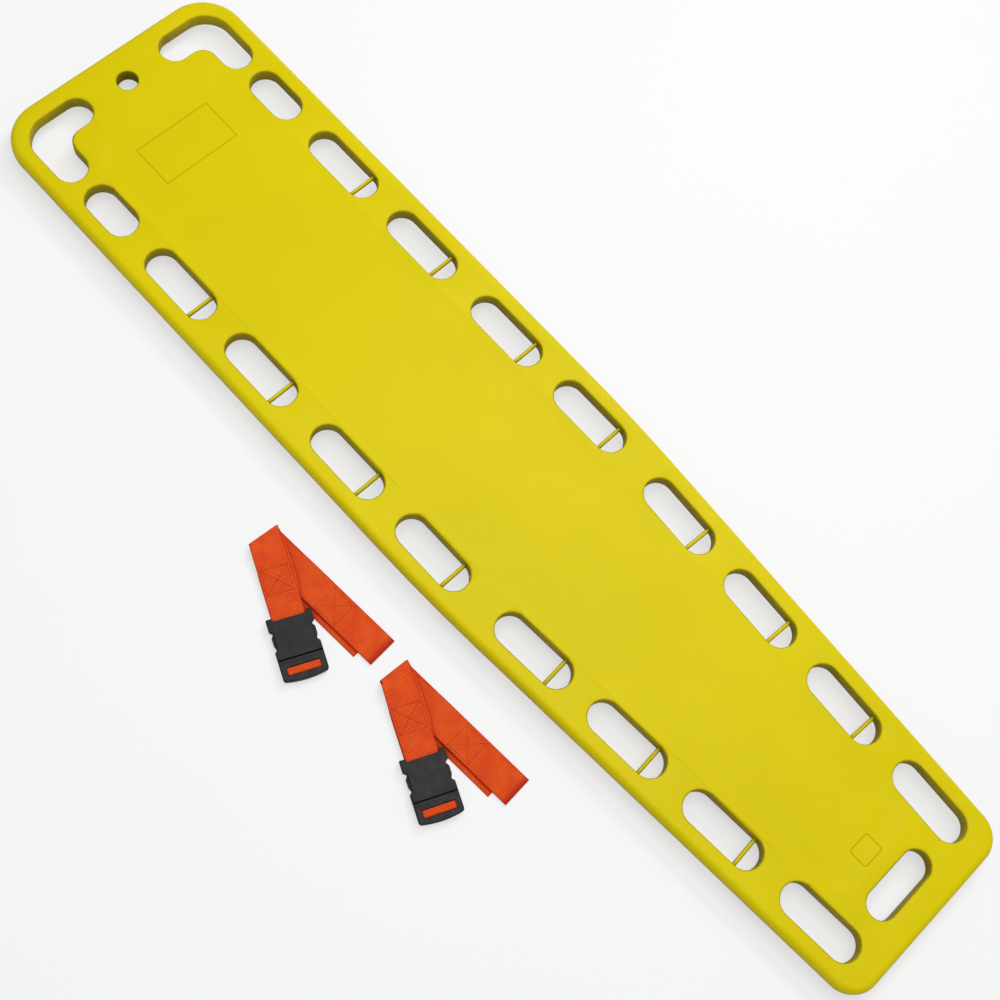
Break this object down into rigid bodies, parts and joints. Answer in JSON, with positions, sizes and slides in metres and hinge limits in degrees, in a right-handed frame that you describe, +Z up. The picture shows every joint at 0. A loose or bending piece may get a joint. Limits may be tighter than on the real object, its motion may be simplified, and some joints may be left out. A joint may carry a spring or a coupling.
{
  "type": "spine board",
  "caption": "Tapered rescue board with handholds along both sides, pins across them for strap clips, and folded straps with side release buckles beside it.",
  "frame": {"origin": "middle of the board's flat underside, half way along its length", "axes": "+X along the board from the head end to the foot end, +Y to the row of handholds away from the straps, +Z up out of the lying face"},
  "size_m": [1.84, 0.6695, 0.05],
  "materials": {
    "shell_plastic": "satin",
    "pin_plastic": "satin",
    "plug_plastic": "satin",
    "foam": "matte",
    "webbing": "matte",
    "buckle_plastic": "satin"
  },
  "bodies": {
    "board": {"board_shell": "shell_plastic", "foam_core": "foam", "fill_plug_head": "plug_plastic", "fill_plug_foot": "plug_plastic", "pin_right_1": "pin_plastic", "pin_right_2": "pin_plastic", "pin_right_3": "pin_plastic", "pin_right_4": "pin_plastic", "pin_right_5": "pin_plastic", "pin_right_6": "pin_plastic", "pin_right_7": "pin_plastic", "pin_left_1": "pin_plastic", "pin_left_2": "pin_plastic", "pin_left_3": "pin_plastic", "pin_left_4": "pin_plastic", "pin_left_5": "pin_plastic", "pin_left_6": "pin_plastic", "pin_left_7": "pin_plastic"},
    "strap_1": {"strap_1_socket": "buckle_plastic", "strap_1_long_webbing": "webbing"},
    "strap_1_plug": {"strap_1_plug": "buckle_plastic", "strap_1_short_webbing": "webbing"},
    "strap_1_prong_right": {"strap_1_prong_right": "buckle_plastic"},
    "strap_1_prong_left": {"strap_1_prong_left": "buckle_plastic"},
    "strap_2": {"strap_2_socket": "buckle_plastic", "strap_2_long_webbing": "webbing"},
    "strap_2_plug": {"strap_2_plug": "buckle_plastic", "strap_2_short_webbing": "webbing"},
    "strap_2_prong_right": {"strap_2_prong_right": "buckle_plastic"},
    "strap_2_prong_left": {"strap_2_prong_left": "buckle_plastic"}
  },
  "joints": [
    {"name": "strap_1_lift", "type": "slide", "parent": "board", "child": "strap_1", "axis": [0, 0, 1], "range_m": [0, 0.3]},
    {"name": "strap_1_release", "type": "slide", "parent": "strap_1", "child": "strap_1_plug", "axis": [0.91, -0.4147, 0], "range_m": [0, 0.042], "deforming": ["strap_1_prong_right", "strap_1_prong_left"]},
    {"name": "strap_1_prong_right_press", "type": "hinge", "parent": "strap_1_plug", "child": "strap_1_prong_right", "pos_m": [0.02694, -0.39004, 0.0098], "axis": [0, 0, 1], "range_deg": [0, 12], "stiffness_Nm_per_rad": 0.05},
    {"name": "strap_1_prong_left_press", "type": "hinge", "parent": "strap_1_plug", "child": "strap_1_prong_left", "pos_m": [0.01284, -0.42098, 0.0098], "axis": [0, 0, -1], "range_deg": [0, 12], "stiffness_Nm_per_rad": 0.05},
    {"name": "strap_2_lift", "type": "slide", "parent": "board", "child": "strap_2", "axis": [0, 0, 1], "range_m": [0, 0.3]},
    {"name": "strap_2_release", "type": "slide", "parent": "strap_2", "child": "strap_2_plug", "axis": [0.91, -0.4147, 0], "range_m": [0, 0.042], "deforming": ["strap_2_prong_right", "strap_2_prong_left"]},
    {"name": "strap_2_prong_right_press", "type": "hinge", "parent": "strap_2_plug", "child": "strap_2_prong_right", "pos_m": [0.30894, -0.38354, 0.0098], "axis": [0, 0, 1], "range_deg": [0, 12], "stiffness_Nm_per_rad": 0.05},
    {"name": "strap_2_prong_left_press", "type": "hinge", "parent": "strap_2_plug", "child": "strap_2_prong_left", "pos_m": [0.29484, -0.41448, 0.0098], "axis": [0, 0, -1], "range_deg": [0, 12], "stiffness_Nm_per_rad": 0.05}
  ]
}
